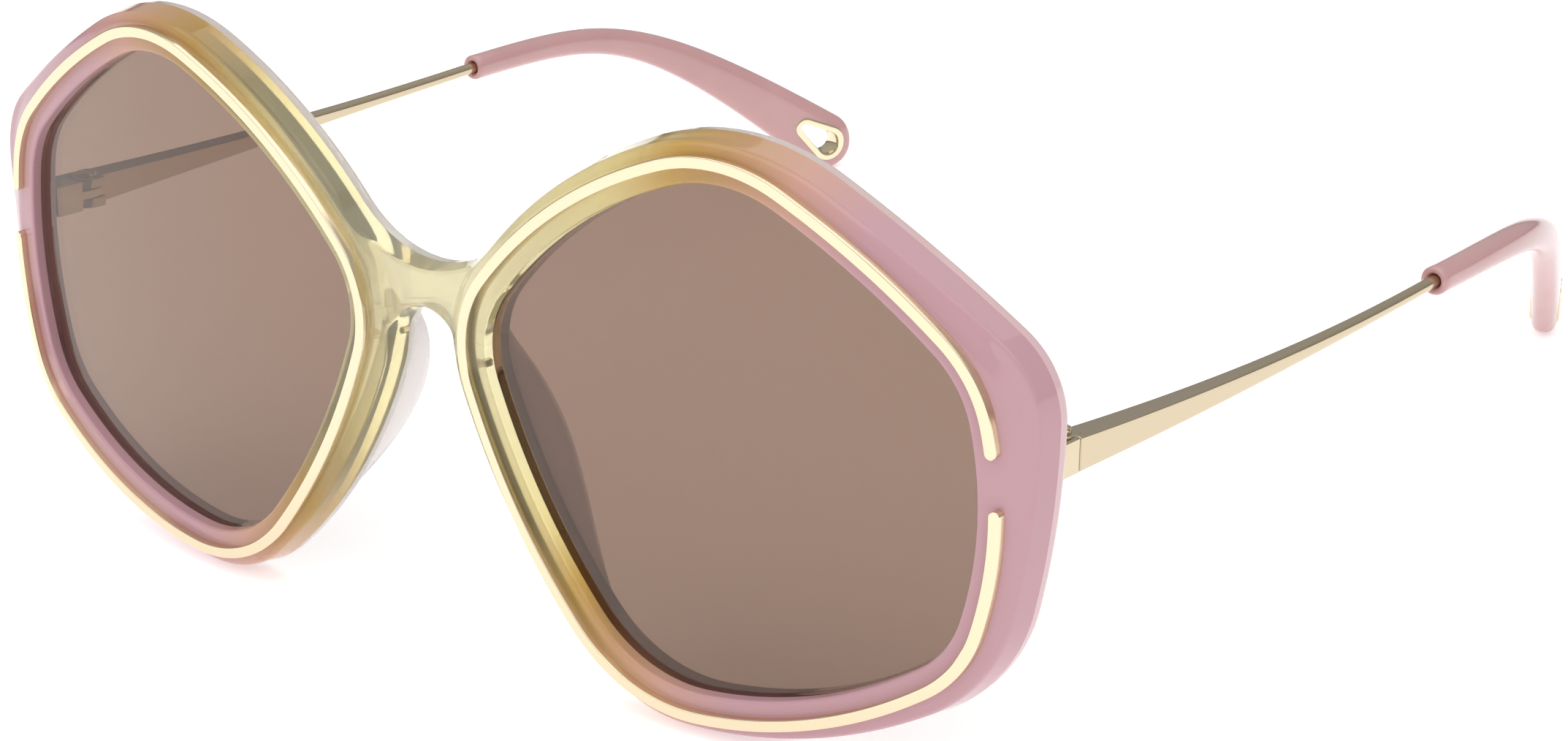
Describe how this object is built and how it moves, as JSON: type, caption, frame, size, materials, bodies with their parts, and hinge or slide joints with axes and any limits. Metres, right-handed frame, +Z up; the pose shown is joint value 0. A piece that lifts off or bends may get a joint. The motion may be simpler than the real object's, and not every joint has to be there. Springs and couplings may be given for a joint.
{
  "type": "sunglasses",
  "caption": "Oversized five-sided sunglasses with translucent two-tone plastic rims, thin metal strips set into them, tinted lenses and tapered metal temples with eyeleted plastic tips.",
  "frame": {"origin": "centre of the bounding box in X and Y, at the height of the surface the open glasses stand on", "axes": "+X to the wearer's left, +Y from the front to the temple tips, +Z up; the front leans back by the angle at which the rim bottoms and the tips both touch the surface"},
  "size_m": [0.1446, 0.143, 0.0623],
  "materials": {
    "front_acetate": "polished, clear yellow at the bridge grading to milky pink at the outer sides",
    "rear_acetate": "polished, pale milky pink",
    "lens_tint": "polished, even brown tint",
    "pad_acetate": "polished, translucent pale pink",
    "strip_gold": "pale gold plating, polished",
    "hinge_gold": "pale gold plating, polished",
    "screw_gold": "pale gold plating, polished",
    "temple_gold": "pale gold plating, polished",
    "tip_acetate": "polished opaque dusty pink",
    "eyelet_gold": "pale gold plating, polished"
  },
  "bodies": {
    "front": {"front_frame": "front_acetate", "rear_laminate": "rear_acetate", "left_lens": "lens_tint", "right_lens": "lens_tint", "left_nose_pad": "pad_acetate", "right_nose_pad": "pad_acetate", "left_rim_strip": "strip_gold", "right_rim_strip": "strip_gold", "left_strip_pegs": "strip_gold", "right_strip_pegs": "strip_gold", "left_endpiece": "hinge_gold", "right_endpiece": "hinge_gold"},
    "left_arm": {"left_temple": "temple_gold", "left_hinge_screw": "screw_gold", "left_temple_tip": "tip_acetate", "left_tip_eyelet": "eyelet_gold"},
    "right_arm": {"right_temple": "temple_gold", "right_hinge_screw": "screw_gold", "right_temple_tip": "tip_acetate", "right_tip_eyelet": "eyelet_gold"}
  },
  "joints": [
    {"name": "left_hinge_fold", "type": "hinge", "parent": "front", "child": "left_arm", "pos_m": [0.0679, -0.0527, 0.03262], "axis": [0, 0.0939, 0.9956], "range_deg": [0, 86]},
    {"name": "right_hinge_fold", "type": "hinge", "parent": "front", "child": "right_arm", "pos_m": [-0.0679, -0.0527, 0.03262], "axis": [0, -0.0939, -0.9956], "range_deg": [0, 72]}
  ]
}
